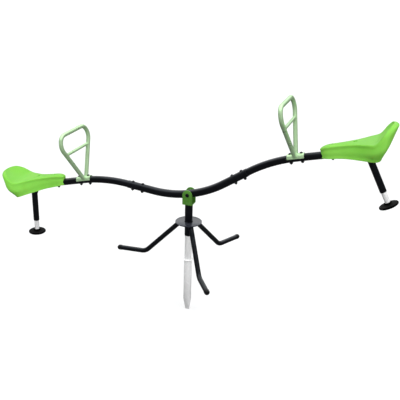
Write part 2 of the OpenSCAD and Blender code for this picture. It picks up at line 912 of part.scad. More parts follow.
ground_socket();
socket_point();
socket_flange();
centre_tube();
base_sleeve();
sleeve_bolt();
sleeve_nut();
base_disc();
leg_sockets();
leg_spigots();
base_leg(leg_turns[0]);  // base_leg_left
base_leg(leg_turns[1]);  // base_leg_front
base_leg(leg_turns[2]);  // base_leg_right
leg_caps();
spindle();
spindle_plug();
retaining_bolt();
retaining_washer();
swivel_post();
thrust_washer();
upper_spindle_bush();
lower_spindle_bush();
pivot_yoke();
pivot_bolt();
pivot_nut();
beam_centre();
pivot_sleeve();
pivot_bushes();
beam_left();
beam_right();
joint_bolts();
joint_nuts();
handle_left();
handle_right();
saddle_left();
saddle_right();
handle_bolts();
handle_nuts();
seat_left();
seat_right();
seat_bolts();
seat_nuts();
seat_caps();
arm_plugs();
bumper_tube_left();
bumper_tube_right();
bumper_gussets();
bumper_collars();
plunger_left();
plunger_right();
piston_left();
piston_right();
foot_left();
foot_right();
bumper_spring_left();
bumper_spring_right();
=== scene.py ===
# %% [markdown]
# # A rotating garden seesaw, dressed for its picture
#
# A tube beam shaped like a gull's wings turns and tips on a low post. Two riders sit
# on moulded saddles and push off with their feet. Under each saddle a sprung leg
# softens the landing. Three bent legs and a ground socket hold the post upright.
#
# The solids come from the CAD source, already packed. This lesson keeps their places
# and gives every surface its real finish: powder coat, zinc, moulded plastic, rubber.
# It also adds what CAD leaves out: weld beads, broken edges and the saddles' soft forms.

# %% [markdown]
# ## The imported model
#
# Each one is named and already rides on its own body, so the beam can tip and the sprung legs can
# slide. We keep the box of the bare model and print its size; the floor is laid from it later.

import json
import math

import bmesh
import bpy
import numpy as np
from mathutils import Matrix, Vector

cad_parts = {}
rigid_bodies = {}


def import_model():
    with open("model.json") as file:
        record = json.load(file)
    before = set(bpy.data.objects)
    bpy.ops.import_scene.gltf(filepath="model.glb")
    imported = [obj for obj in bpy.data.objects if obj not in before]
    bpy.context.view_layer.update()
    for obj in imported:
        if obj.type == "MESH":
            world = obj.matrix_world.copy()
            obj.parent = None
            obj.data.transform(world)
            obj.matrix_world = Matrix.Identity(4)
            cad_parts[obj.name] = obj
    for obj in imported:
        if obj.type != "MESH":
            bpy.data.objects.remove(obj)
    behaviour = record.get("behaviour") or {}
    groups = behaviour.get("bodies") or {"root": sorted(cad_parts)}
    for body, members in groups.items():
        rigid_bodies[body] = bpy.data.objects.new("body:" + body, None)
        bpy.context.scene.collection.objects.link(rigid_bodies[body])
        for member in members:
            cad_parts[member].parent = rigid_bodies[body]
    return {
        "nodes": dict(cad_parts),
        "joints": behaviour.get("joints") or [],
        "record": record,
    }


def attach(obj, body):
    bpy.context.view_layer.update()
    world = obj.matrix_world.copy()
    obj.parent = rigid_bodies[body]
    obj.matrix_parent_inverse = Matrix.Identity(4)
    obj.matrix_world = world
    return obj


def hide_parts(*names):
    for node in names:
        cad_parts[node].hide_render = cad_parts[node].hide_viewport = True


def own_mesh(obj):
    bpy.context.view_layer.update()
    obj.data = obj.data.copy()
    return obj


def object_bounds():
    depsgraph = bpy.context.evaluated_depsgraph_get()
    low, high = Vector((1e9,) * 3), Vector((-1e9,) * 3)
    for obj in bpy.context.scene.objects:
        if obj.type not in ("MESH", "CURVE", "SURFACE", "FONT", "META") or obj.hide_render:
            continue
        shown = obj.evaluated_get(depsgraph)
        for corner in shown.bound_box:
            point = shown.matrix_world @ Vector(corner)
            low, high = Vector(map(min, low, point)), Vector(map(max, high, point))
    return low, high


for leftover in list(bpy.data.objects):
    bpy.data.objects.remove(leftover)

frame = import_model()
bpy.context.view_layer.update()
cad_low, cad_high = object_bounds()
nodes = frame["nodes"]
body_of_node = {
    node: body
    for body, members in frame["record"]["behaviour"]["bodies"].items()
    for node in members
}
print(len(nodes), "solids, box", tuple(round(v, 3) for v in cad_high - cad_low))

# %% [markdown]
# ## Where the beam stands
#
# The beam is drawn level in its own frame, with its origin on the pivot bolt, and then
# tipped. The record's joints give both facts: the height of the tilt joint, and the
# tilt, which is half of the full swing. One matrix then places every beam piece.

# %% The beam's own frame
joint = {j["name"]: j for j in frame["joints"]}
pivot = Vector(joint["seesaw_tilt"]["pos_m"])
rest_tilt = math.radians(joint["seesaw_tilt"]["range_deg"][1] / 2)
beam_frame = Matrix.Translation(pivot) @ Matrix.Rotation(-rest_tilt, 4, "Y")
MM = 0.001
print("pivot", tuple(round(v, 4) for v in pivot), "tilt", round(math.degrees(rest_tilt), 2))

# %% [markdown]
# ## Shared surface effects
#
# Several finishes share the same small accidents: the orange-peel skin of baked
# powder, edges rubbed thin, dust that settles on top. Each is a node group with named
# inputs, built once and placed in every material that needs it with its own values.
# A group gives out only masks and heights; the Principled shader stays outside it.

# %% Helpers that make a node group
def effect(name, inputs, outputs):
    """An empty node group: a Vector and {name: default} float inputs, named float outputs."""
    group = bpy.data.node_groups.new(name, "ShaderNodeTree")
    vector = group.interface.new_socket("Vector", in_out="INPUT", socket_type="NodeSocketVector")
    vector.hide_value = True
    for label, default in inputs.items():
        socket = group.interface.new_socket(label, in_out="INPUT", socket_type="NodeSocketFloat")
        socket.default_value = default
    for label in outputs:
        group.interface.new_socket(label, in_out="OUTPUT", socket_type="NodeSocketFloat")
    return group, group.nodes.new("NodeGroupInput"), group.nodes.new("NodeGroupOutput")


def math_node(tree, operation, *values):
    """A Math node whose inputs are numbers or sockets; returns its output."""
    node = tree.nodes.new("ShaderNodeMath")
    node.operation = operation
    for slot, value in enumerate(values):
        if isinstance(value, (int, float)):
            node.inputs[slot].default_value = value
        else:
            tree.links.new(value, node.inputs[slot])
    return node.outputs[0]


def spread(tree, value, low, high, new_low=0.0, new_high=1.0):
    """A value between low and high, spread between new_low and new_high and clamped there."""
    node = tree.nodes.new("ShaderNodeMapRange")
    for label, number in (("From Min", low), ("From Max", high), ("To Min", new_low),
                          ("To Max", new_high)):
        if isinstance(number, (int, float)):
            node.inputs[label].default_value = number
        else:
            tree.links.new(number, node.inputs[label])
    tree.links.new(value, node.inputs["Value"])
    return node.outputs["Result"]


def noise(tree, vector, scale, detail=3.0, rough=0.5):
    """A 3D noise between 0 and 1."""
    node = tree.nodes.new("ShaderNodeTexNoise")
    node.inputs["Detail"].default_value = detail
    node.inputs["Roughness"].default_value = rough
    if isinstance(scale, (int, float)):
        node.inputs["Scale"].default_value = scale
    else:
        tree.links.new(scale, node.inputs["Scale"])
    tree.links.new(vector, node.inputs["Vector"])
    return node.outputs["Fac"]

# %% [markdown]
# Orange peel is one fine noise, with a broad one beside it that mottles the tone. Rubbed edges
# start from Pointiness, which is high where a surface is sharply convex, and noise breaks them up.
# On the yoke, the colour laid on these edges is also a painted highlight along its rims. Dust
# follows the upward part of the normal, because it falls from above.

# %% Orange peel, rubbed edges (on the yoke also a painted highlight), settled dust
peel, given, out = effect("Orange peel", {"Size": 520.0}, ["Height", "Mottle"])
soft = noise(peel, given.outputs["Vector"], given.outputs["Size"], 2.0)
broad = noise(peel, given.outputs["Vector"], 14.0, 4.0, 0.6)
peel.links.new(soft, out.inputs["Height"])
peel.links.new(spread(peel, broad, 0.3, 0.7), out.inputs["Mottle"])

rubbed_and_lit_edge, given, out = effect("Rubbed edge", {"Breakup": 90.0, "Reach": 0.06}, ["Mask"])
shape = rubbed_and_lit_edge.nodes.new("ShaderNodeNewGeometry")
limit = math_node(rubbed_and_lit_edge, "ADD", 0.5, given.outputs["Reach"])
edge = spread(rubbed_and_lit_edge, shape.outputs["Pointiness"], 0.51, limit)
patches = spread(rubbed_and_lit_edge, noise(rubbed_and_lit_edge, given.outputs["Vector"], given.outputs["Breakup"], 5.0, 0.7),
                 0.42, 0.62)
rubbed_and_lit_edge.links.new(math_node(rubbed_and_lit_edge, "MULTIPLY", edge, patches), out.inputs["Mask"])

dust, given, out = effect("Settled dust", {"Cover": 0.5}, ["Mask"])
shape = dust.nodes.new("ShaderNodeNewGeometry")
axes = dust.nodes.new("ShaderNodeSeparateXYZ")
dust.links.new(shape.outputs["Normal"], axes.inputs[0])
up = spread(dust, axes.outputs["Z"], 0.35, 1.0)
specks = spread(dust, noise(dust, given.outputs["Vector"], 38.0, 6.0, 0.65), 0.35, 0.75)
veil = math_node(dust, "MULTIPLY", math_node(dust, "MULTIPLY", up, specks), given.outputs["Cover"])
dust.links.new(veil, out.inputs["Mask"])
print("effects:", [g.name for g in (peel, rubbed_and_lit_edge, dust)])

# %% [markdown]
# Moulded plastic leaves its mould with a fine spark-eroded grain, finer than leather.
# Galvanised tube shows spangle: zinc crystals a few millimetres across, each a little
# lighter or darker, under a cloudy haze. Both are made from cells and noise.

# %% Moulded grain and zinc spangle
grain, given, out = effect("Moulded grain", {"Size": 900.0}, ["Height", "Mottle"])
cells = grain.nodes.new("ShaderNodeTexVoronoi")
cells.feature = "SMOOTH_F1"
grain.links.new(given.outputs["Vector"], cells.inputs["Vector"])
grain.links.new(given.outputs["Size"], cells.inputs["Scale"])
fine = noise(grain, given.outputs["Vector"], 2400.0, 2.0)
height = math_node(grain, "ADD", math_node(grain, "MULTIPLY", cells.outputs["Distance"], 0.7),
                   math_node(grain, "MULTIPLY", fine, 0.3))
grain.links.new(height, out.inputs["Height"])
clouds = noise(grain, given.outputs["Vector"], 9.0, 4.0, 0.55)
grain.links.new(spread(grain, clouds, 0.3, 0.7), out.inputs["Mottle"])

spangle, given, out = effect("Zinc spangle", {"Size": 260.0}, ["Tone", "Height"])
cells = spangle.nodes.new("ShaderNodeTexVoronoi")
spangle.links.new(given.outputs["Vector"], cells.inputs["Vector"])
spangle.links.new(given.outputs["Size"], cells.inputs["Scale"])
crystal = spangle.nodes.new("ShaderNodeRGBToBW")
spangle.links.new(cells.outputs["Color"], crystal.inputs[0])
haze = noise(spangle, given.outputs["Vector"], 60.0, 5.0, 0.6)
tone = math_node(spangle, "ADD", math_node(spangle, "MULTIPLY", crystal.outputs[0], 0.6),
                 math_node(spangle, "MULTIPLY", haze, 0.4))
spangle.links.new(spread(spangle, tone, 0.2, 0.8), out.inputs["Tone"])
spangle.links.new(haze, out.inputs["Height"])
print("effects:", [g.name for g in (grain, spangle)])

# %% [markdown]
# ## Finishes
#
# Each finish is one material. A number that is the same all over sits straight on the
# shader; only what changes over the surface comes through nodes. Colours are written
# as a painter's swatch would read, then turned into the linear values that light uses.

# %% Helpers for a finish
def swatch(hex_colour):
    """A colour written as a web swatch, in the linear values that a shader takes."""
    parts = [int(hex_colour[i:i + 2], 16) / 255 for i in (1, 3, 5)]
    linear = [c / 12.92 if c <= 0.04045 else ((c + 0.055) / 1.055) ** 2.4 for c in parts]
    return (*linear, 1.0)


def finish(name, **settings):
    """A new material: the material, its tree, its shader and its object coordinates."""
    material = bpy.data.materials.new(name)
    material.use_nodes = True
    tree = material.node_tree
    shader = tree.nodes["Principled BSDF"]
    for label, value in settings.items():
        shader.inputs[label.replace("_", " ")].default_value = value
    place = tree.nodes.new("ShaderNodeTexCoord").outputs["Object"]
    return material, tree, shader, place


def use(tree, group, place, **values):
    """Places a shared effect in a material and returns its outputs."""
    node = tree.nodes.new("ShaderNodeGroup")
    node.node_tree = group
    tree.links.new(place, node.inputs["Vector"])
    for label, value in values.items():
        node.inputs[label].default_value = value
    return node.outputs


def blend_colour(tree, mask, first, second):
    """Two colours, or sockets, mixed by a mask."""
    node = tree.nodes.new("ShaderNodeMix")
    node.data_type = "RGBA"
    tree.links.new(mask, node.inputs["Factor"])
    for slot, value in ((6, first), (7, second)):
        if isinstance(value, tuple):
            node.inputs[slot].default_value = value
        else:
            tree.links.new(value, node.inputs[slot])
    return node.outputs[2]


def relief(tree, shader, height, depth):
    """A bump of that depth, in metres, on the shader's normal."""
    node = tree.nodes.new("ShaderNodeBump")
    node.inputs["Distance"].default_value = depth
    node.inputs["Strength"].default_value = 1.0
    tree.links.new(height, node.inputs["Height"])
    tree.links.new(node.outputs["Normal"], shader.inputs["Normal"])


print("middle grey sends back", round(swatch("#808080")[0], 3), "of the light")

# %% [markdown]
# Powder coat is thick, baked paint. It flows into a faint orange peel, thins on sharp edges until
# the primer shows, and dulls a little where dust lies. On the yoke, the pale green on its edges is
# partly wear and partly a painted highlight along the rims. One function makes both blacks and both
# greens, because they differ only in their numbers. The disc got a glossier, greyer black than the
# tubes. The greens have metal flake in them, which the Metallic number stands for.

# %% Powder coats
COOL_SHINE = (0.82, 0.9, 1.0, 1.0)
OUTDOOR_DUST, DUST_DULLS = "#8d8a84", 0.5      # full dust adds this much roughness


def powder_coat(name, deep, fresh, primer_and_rim_highlight, gloss, peel_depth, wear_and_rim_highlight, dusty, **settings):
    """Baked paint: two tones of colour, the colour on its edges (the primer, and on the yoke also a
    painted rim highlight), and a range of roughness.
    """
    material, tree, shader, place = finish(name, **settings)
    skin = use(tree, peel, place)
    edge = use(tree, rubbed_and_lit_edge, place)["Mask"]
    veil = use(tree, dust, place, Cover=dusty)["Mask"]
    colour = blend_colour(tree, skin["Mottle"], swatch(deep), swatch(fresh))
    colour = blend_colour(tree, math_node(tree, "MULTIPLY", edge, wear_and_rim_highlight), colour, swatch(primer_and_rim_highlight))
    colour = blend_colour(tree, veil, colour, swatch(OUTDOOR_DUST))
    tree.links.new(colour, shader.inputs["Base Color"])
    dull = spread(tree, skin["Mottle"], 0.0, 1.0, *gloss)
    dull = math_node(tree, "ADD", dull, math_node(tree, "MULTIPLY", veil, DUST_DULLS))
    tree.links.new(dull, shader.inputs["Roughness"])
    relief(tree, shader, skin["Height"], peel_depth)
    return material


black_coat = powder_coat("black powder coat", "#030305", "#07070b", "#303238", (0.26, 0.36),
                         0.00005, 0.15, 0.01, Specular_Tint=COOL_SHINE)
disc_coat = powder_coat("glossy black powder coat", "#22242b", "#2a2c34", "#50535c", (0.14, 0.22),
                        0.00004, 0.5, 0.01, Specular_Tint=COOL_SHINE)
# The yoke's pale green edges are partly wear and partly a painted highlight on its rims.
yoke_green = powder_coat("yoke green powder coat", "#5a9a34", "#65a840", "#c4dfae", (0.36, 0.46),
                         0.00006, 0.12, 0.01, Metallic=0.45)
handle_green = powder_coat("handle green powder coat", "#bfe4af", "#c9edbc", "#e6f3df",
                           (0.26, 0.34), 0.00005, 0.2, 0.0, Metallic=0.55)
print("coats:", black_coat.name, disc_coat.name, yoke_green.name, handle_green.name)

# %% [markdown]
# The saddles are coloured right through, so scratches show as lighter marks, not as
# another colour. Caps and collars are the same kind of plastic in black. Rubber is
# duller still and holds dust in its grain. Nylon bushes are waxy and let light in.

# %% Plastics and rubber
PALE_DUST, SCUFFING = "#a7a49c", 0.35          # how far a rubbed edge turns pale


def moulded(name, deep, fresh, scuffed, gloss, grain_depth, dusty, size=900.0, **settings):
    """Plastic coloured through: grain from the mould, pale scuffs and a range of roughness."""
    material, tree, shader, place = finish(name, **settings)
    skin = use(tree, grain, place, Size=size)
    edge = use(tree, rubbed_and_lit_edge, place, Breakup=45.0, Reach=0.08)["Mask"]
    veil = use(tree, dust, place, Cover=dusty)["Mask"]
    colour = blend_colour(tree, skin["Mottle"], swatch(deep), swatch(fresh))
    pale = math_node(tree, "MULTIPLY", edge, SCUFFING)
    colour = blend_colour(tree, pale, colour, swatch(scuffed))
    colour = blend_colour(tree, veil, colour, swatch(PALE_DUST))
    tree.links.new(colour, shader.inputs["Base Color"])
    tree.links.new(spread(tree, skin["Mottle"], 0.0, 1.0, *gloss), shader.inputs["Roughness"])
    relief(tree, shader, skin["Height"], grain_depth)
    return material


seat_lime = moulded("lime moulded plastic", "#7dca47", "#87d051", "#c0ea98", (0.42, 0.54),
                    0.00008, 0.0, Subsurface_Weight=0.12, Subsurface_Scale=0.004,
                    Specular_IOR_Level=0.2)
black_plastic = moulded("black moulded plastic", "#050506", "#0b0b0c", "#3a3a3c", (0.42, 0.55),
                        0.00006, 0.01, Specular_IOR_Level=0.3)
rubber = moulded("black rubber", "#010101", "#030303", "#161616", (0.6, 0.75), 0.00012, 0.002,
                 520.0, Specular_IOR_Level=0.1)
nylon = moulded("natural nylon", "#dedbcf", "#ebe8dd", "#f4f2ea", (0.38, 0.5), 0.00004, 0.02,
                1200.0, Subsurface_Weight=0.15, Subsurface_Scale=0.003)
print("plastics:", [m.name for m in (seat_lime, black_plastic, rubber, nylon)])

# %% [markdown]
# Zinc plate is a metal with a thin pale bloom of oxide on it. Its colour here is near white, paler
# than the zinc itself: beyond its own pale tone, it is a painted reflection of a bright white room.
# So its shader is mostly a plain pale surface with only a little metal in it, and its crystals
# change both tone and gloss. The bolts are blackened steel: a thin dark film over metal, so they
# keep the metal's shine and turn brighter on their rubbed rims.

# %% Metals
zinc, tree, shader, place = finish("zinc plate", Metallic=0.12)
crystals = use(tree, spangle, place)
# Near white: the zinc's own pale tone, raised further to paint in the bright reflection of a white
# room.
colour = blend_colour(tree, crystals["Tone"], swatch("#f6f7f8"), swatch("#fdfdfd"))
tree.links.new(colour, shader.inputs["Base Color"])
tree.links.new(spread(tree, crystals["Tone"], 0.0, 1.0, 0.28, 0.24), shader.inputs["Roughness"])
relief(tree, shader, crystals["Height"], 0.000004)

dark_bolts, tree, shader, place = finish("blackened bolts", Metallic=0.7)
edge = use(tree, rubbed_and_lit_edge, place, Breakup=200.0)["Mask"]
film = use(tree, peel, place, Size=1500.0)
colour = blend_colour(tree, film["Mottle"], swatch("#1a1a1d"), swatch("#26262a"))
colour = blend_colour(tree, math_node(tree, "MULTIPLY", edge, 0.5), colour, swatch("#6a6a70"))
tree.links.new(colour, shader.inputs["Base Color"])
tree.links.new(spread(tree, film["Mottle"], 0.0, 1.0, 0.34, 0.46), shader.inputs["Roughness"])
relief(tree, shader, film["Height"], 0.00003)
print("metals:", zinc.name, dark_bolts.name)

# %% [markdown]
# ## Finishes on the solids
#
# The record names a material slot for every solid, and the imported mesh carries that
# slot's name. So a short table from slot to finish dresses all of them at once. Only
# the base's disc differs from its slot, because its coat is glossier than the tubes'.

# %% Dress the solids
finish_of_slot = {
    "black_coat": black_coat, "dark_bolts": dark_bolts, "black_plastic": black_plastic,
    "zinc": zinc, "nylon": nylon, "yoke_green": yoke_green, "handle_green": handle_green,
    "seat_lime": seat_lime, "rubber_feet": rubber,
}
slot_of_node = {name: solid.material_slots[0].material.name for name, solid in nodes.items()}
finish_of_node = {name: finish_of_slot[slot] for name, slot in slot_of_node.items()}
finish_of_node["base_disc"] = disc_coat
for name, solid in nodes.items():
    solid.material_slots[0].material = finish_of_node[name]
print({slot: list(slot_of_node.values()).count(slot) for slot in finish_of_slot})

# %% [markdown]
# ## Broken edges
#
# No cut tube or stamped plate has a perfectly sharp edge: it is filed, and paint pulls
# back from it. That thin round catches the light and tells the eye how big a thing is.
# A CAD solid's mesh may not change, so each solid with such edges gets a merged copy
# that stands for it. Its flat facets are joined first, then a small bevel goes on the
# sharp edges. Tubes with capped ends, the socket's point and what is hidden keep their
# own mesh.

# %% A copy with broken edges
SAME_POINT = 2e-6                    # metres
FLAT = math.radians(0.15)            # facets that lean less than this are joined
SHARP_EDGE = math.radians(35)        # edges sharper than this are bevelled


def in_scene(name, data):
    """A new object with that mesh, lamp or lens, linked to the scene."""
    thing = bpy.data.objects.new(name, data)
    bpy.context.scene.collection.objects.link(thing)
    return thing


def baked(piece):
    """The piece with its modifiers applied to its mesh and taken off."""
    view = bpy.context.evaluated_depsgraph_get()
    view.update()
    mesh = bpy.data.meshes.new_from_object(piece.evaluated_get(view))
    piece.modifiers.clear()
    old = piece.data
    piece.data = mesh
    bpy.data.meshes.remove(old)
    mesh.name = piece.name
    return piece


def dress_as(piece, body, node):
    """Lets a finished piece ride on a body and stand for a CAD node."""
    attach(piece, body)
    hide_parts(node)


def shade(mesh, sharp_degrees):
    """Smooth shading that still breaks at edges sharper than this."""
    mesh.shade_smooth()
    mesh.set_sharp_from_angle(angle=math.radians(sharp_degrees))


def broken_edges(node, width, steps=2):
    """A copy of a CAD solid whose sharp edges are rounded by width."""
    shell = bmesh.new()
    shell.from_mesh(nodes[node].data)
    bmesh.ops.remove_doubles(shell, verts=shell.verts, dist=SAME_POINT)
    bmesh.ops.dissolve_limit(shell, angle_limit=FLAT, verts=shell.verts, edges=shell.edges)
    mesh = bpy.data.meshes.new(node + "_worked")
    shell.to_mesh(mesh)
    shell.free()
    mesh.materials.append(finish_of_node[node])
    copy = in_scene(node + "_worked", mesh)
    bevel = copy.modifiers.new("Broken edges", "BEVEL")
    bevel.width = width
    bevel.segments = steps
    bevel.limit_method = "ANGLE"
    bevel.angle_limit = SHARP_EDGE
    bevel.use_clamp_overlap = True
    baked(copy)
    shade(copy.data, sharp_degrees=28)
    dress_as(copy, body_of_node[node], node)
    return len(copy.data.polygons)


print("edges sharper than", round(math.degrees(SHARP_EDGE)), "degrees get a bevel")

# %% [markdown]
# Thick bent plate has been filed to a broad round, small turned parts to a fine one. So
# a table gives the width in millimetres and the solids that have it.

# %% Break the edges of plates and tube ends
EDGE_WIDTHS = {
    0.8: ["pivot_yoke"],
    0.6: ["base_disc", "saddle_left", "saddle_right", "socket_flange"],
    0.5: ["bumper_gussets", "foot_left", "foot_right", "arm_plugs", "leg_caps", "leg_sockets"],
    0.4: ["swivel_post", "base_sleeve", "centre_tube", "ground_socket", "bumper_tube_left",
          "bumper_tube_right", "bumper_collars", "seat_caps", "thrust_washer"],
    0.3: ["pivot_bolt", "pivot_nut", "joint_bolts", "joint_nuts", "handle_bolts", "handle_nuts",
          "seat_bolts", "seat_nuts", "sleeve_bolt", "sleeve_nut", "plunger_left",
          "plunger_right"],
}
for width, names in EDGE_WIDTHS.items():
    for node in names:
        print(node, broken_edges(node, width * MM), "faces")

# %% [markdown]
# ## Copies of the springs
#
# A coil spring sits hidden above each plunger. As the plunger slides up, the spring has to give way
# by the same length. Each coil gets a smooth-shaded copy with its own mesh, which rides on the beam
# and stands for it; the copy keeps the coil's shape.

# %% Copy the coils
for side in ("left", "right"):
    node = "bumper_spring_" + side
    slide = joint["bumper_" + side]
    up = Vector(slide["axis"]).normalized()
    coil = nodes[node].data.copy()
    coil.name = node + "_coil"
    coil.shade_smooth()
    piece = in_scene(node + "_coil", coil)
    dress_as(piece, "beam", node)
    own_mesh(piece)

# %% [markdown]
# ## Saddles
#
# Each saddle is one thin moulding: a narrow nose over the beam, a broad back that
# turns up behind the rider, and a skirt down both sides. We could sculpt it, but a few
# stations between nose and tail say more and stay easy to change. Each station has:
#
# - `RIM`, a point (x, y, z) on the edge of the sitting surface,
# - `ROLL`, how far that edge rolls outwards and down before the skirt begins,
# - `NECK`, how far the skirt draws in under the roll,
# - `BULGE`, how far the skirt swells outwards half-way down,
# - `HEM`, the point where the skirt ends, above a narrow lip that stands out,
# - `CROWN`, how much higher the middle of the top is than its rim.
#
# Smooth curves run through the stations, and a section is swept along them. At the
# nose the rows of the top lean back by `NOSE_RAKE` a station, so that they don't cross
# on the middle line. Solidify then gives the shell its wall.

# %% Stations of the saddle, in millimetres from its nose and the arm's middle
RIM = np.array([
    [6, 0, 31], [7, 11, 31], [34, 22, 37], [94, 27, 39], [149, 40, 40],
    [194, 64, 41], [234, 83, 44], [267, 71, 75], [290, 46, 94], [301, 0, 99]], float)
ROLL = np.array([
    [3, 5], [3, 5], [3, 5], [3, 5], [4, 5], [5, 6], [8, 7], [15, 9], [17, 11], [18, 12]], float)
BULGE = np.array([0, 0, 1, 1, 2, 4, 11, 22, 12, 4], float)
NECK = np.array([2, 2, 2, 2, 2, 2, 1, -1, -1, 0], float)
HEM = np.array([
    [7, 0, -9], [8, 15, -9], [34, 30, -10], [94, 39, -13], [144, 56, -18],
    [184, 75, -22], [220, 90, -26], [238, 77, -28], [241, 42, -28], [242, 0, -28]], float)
CROWN = np.array([0, 2, 4, 4, 3, 1, 0, -12, -10, 0], float)
NOSE_RAKE, NECK_BELOW_ROLL = 4.0, 8.0
LIP_OUT, LIP_HEIGHT, LIP_END = 1.5, 4.0, 10.0
SHOULDER_OUT, SHOULDER_DOWN = 0.72, 0.3       # where the roll turns down, as shares of it
CORNER_RADII = [3, 6, 24, 8, 5, 4, 5]         # from the lip up to the rim
SADDLE_NOSE, ARM_MIDDLE = 608.0, 113.285      # in the beam's frame
print("saddle stations:", len(RIM))

# %% [markdown]
# Now a curve can be asked for any place between the stations, and for the direction
# that points away from the saddle there. Together they give one half of a section: lip,
# skirt, neck, roll and crowned top, with every corner softened into an arc.

# %% Curves through the stations
MIRROR_Y = np.array([1, -1, 1])


def through(table, t):
    """The smooth curve through a table's rows, at t rows from its start."""
    last = len(table) - 1
    i = min(int(t), last - 1)
    f = t - i
    a, b, c, d = (table[max(0, min(last, k))] for k in (i - 1, i, i + 1, i + 2))
    return 0.5 * (2 * b + (c - a) * f + (2 * a - 5 * b + 4 * c - d) * f * f
                  + (3 * b - a - 3 * c + d) * f ** 3)


def outline(table, t):
    """The same for an outline, which crosses the middle square on at both ends."""
    return through(np.vstack([table[1] * MIRROR_Y, table, table[-2] * MIRROR_Y]), 1 + t)


def unit(vector):
    """The vector with a length of 1, or zero where it has none."""
    return vector / max(np.linalg.norm(vector), 1e-9)


def outward(table, t, near=0.005):
    """Direction away from the saddle at t, seen from above."""
    last = len(table) - 1
    if t <= 0 or t >= last:
        return np.array([-1.0 if t <= 0 else 1.0, 0.0, 0.0])
    step = outline(table, min(last, t + near)) - outline(table, max(0, t - near))
    return unit(np.array([-step[1], step[0], 0.0]))


def rounded(corners, radii, steps, share=0.45):
    """A section through corners, each turned into a short arc of steps points.
    An arc takes at most that share of the line to the next corner."""
    path = [corners[0]]
    for before, corner, after, radius in zip(corners, corners[1:], corners[2:], radii):
        into = before - corner
        away = after - corner
        reach = min(radius, share * np.linalg.norm(into), share * np.linalg.norm(away))
        start = corner + unit(into) * reach
        end = corner + unit(away) * reach
        for k in range(steps):
            f = k / (steps - 1)
            path.append((1 - f) ** 2 * start + 2 * f * (1 - f) * corner + f * f * end)
    return path


def saddle_section(t, across=12, steps=5):
    """One side of the saddle's section at t, from the hem up to the middle of the top."""
    rim, hem = outline(RIM, t), outline(HEM, t)
    side = outward(RIM, t)
    out, down = through(ROLL, t)
    up = np.array([0.0, 0.0, 1.0])
    low = rim + side * out - up * down
    middle = (hem + low) / 2 + side * through(BULGE, t)
    neck = low - side * through(NECK, t) + unit(middle - low) * NECK_BELOW_ROLL
    rise = unit(middle - hem)
    edge = hem + side * LIP_OUT
    lip = [edge, edge + rise * LIP_HEIGHT, hem + rise * LIP_END]
    upper = rim + side * out * SHOULDER_OUT - up * down * SHOULDER_DOWN
    crown = through(CROWN, t)
    spine = max(rim[0], RIM[0][0] + NOSE_RAKE * t)
    top = [np.array([spine + (rim[0] - spine) * f, rim[1] * f, rim[2] + crown * (1 - f * f)])
           for f in (1 - k / across for k in range(1, across + 1))]
    corners = lip + [middle, neck, low, upper, rim, top[0]]
    return rounded(corners, CORNER_RADII, steps) + top


print("points in half a section:", len(saddle_section(len(RIM) / 2)))

# %% [markdown]
# Sections in a row, joined by four-sided faces, make the skin. It closes itself at the
# nose and at the tail, where the sections come together on the middle line. Doubles are
# merged there first, and only then are the normals turned outwards.

# %% The saddle's skin
def saddle_skin(rows_per_station=10):
    """The outer skin of a saddle, as a mesh in metres in its own frame, facing outwards."""
    rows = (len(RIM) - 1) * rows_per_station
    skin = bmesh.new()
    rings = []
    for row in range(rows + 1):
        half = saddle_section(row / rows_per_station)
        other = [p * MIRROR_Y for p in half[-2::-1]]
        rings.append([skin.verts.new(p * MM) for p in half + other])
    for one, two in zip(rings, rings[1:]):
        for k in range(len(one) - 1):
            skin.faces.new((one[k], one[k + 1], two[k + 1], two[k]))
    bmesh.ops.remove_doubles(skin, verts=skin.verts, dist=2e-5)
    bmesh.ops.recalc_face_normals(skin, faces=skin.faces)
    top = max(skin.faces, key=lambda face: face.calc_center_median().z)
    if top.normal.z < 0:
        bmesh.ops.reverse_faces(skin, faces=skin.faces)
    mesh = bpy.data.meshes.new("saddle_skin")
    skin.to_mesh(mesh)
    skin.free()
    return mesh


skin_mesh = saddle_skin()
print("saddle skin:", len(skin_mesh.polygons), "faces")

# %% [markdown]
# Inside, two bosses carry the bolts down to the beam, each under a round recess that a
# plug closes, and the skirt is cut away where the beam's arm enters. Bosses, recesses
# and holes are plain cylinders, joined to the shell or cut from it with booleans.

# %% Cylinders that join or cut
def cylinder(name, radius, start, end, sides=64):
    """A closed cylinder between two points, in millimetres."""
    start, end = Vector(start) * MM, Vector(end) * MM
    axis = end - start
    body = bmesh.new()
    bmesh.ops.create_cone(body, cap_ends=True, segments=sides, radius1=radius * MM,
                          radius2=radius * MM, depth=axis.length)
    turn = axis.to_track_quat("Z", "Y").to_matrix().to_4x4()
    body.transform(Matrix.Translation((start + end) / 2) @ turn)
    mesh = bpy.data.meshes.new(name)
    body.to_mesh(mesh)
    body.free()
    return in_scene(name, mesh)


def carve(piece, others, operation):
    """Joins others to a piece, or cuts them out of it, and removes them."""
    for other in others:
        cut = piece.modifiers.new(other.name, "BOOLEAN")
        cut.operation = operation
        cut.object = other
        cut.solver = "EXACT"
    baked(piece)
    for other in others:
        old = other.data
        bpy.data.objects.remove(other)
        bpy.data.meshes.remove(old)

# %% [markdown]
# Both saddles come from the same skin. The left one is mirrored once it is carved, which
# turns its faces inside out, so they are flipped back. Then it tips with the beam.

# %% Wall, bosses and holes
SADDLE_WALL = 4.0
SADDLE_BOLTS = (655.0, 752.0)                        # in the beam's frame
BOSS_TOP, RECESS_FLOOR, WELL_ABOVE = 39.0, 33.0, 93.0      # over the arm's middle
BOSS_RADIUS, RECESS_RADIUS, HOLE_RADIUS, ARM_RADIUS = 13.5, 9.5, 4.2, 16.4
ARM_FROM, ARM_TO = SADDLE_NOSE - 40, 820.0


def uprights(name, radius, bottom, top):
    """One upright cylinder at each of the saddle's bolts, with heights over the arm's middle."""
    return [cylinder(name, radius, (x, 0, ARM_MIDDLE + bottom), (x, 0, ARM_MIDDLE + top))
            for x in SADDLE_BOLTS]


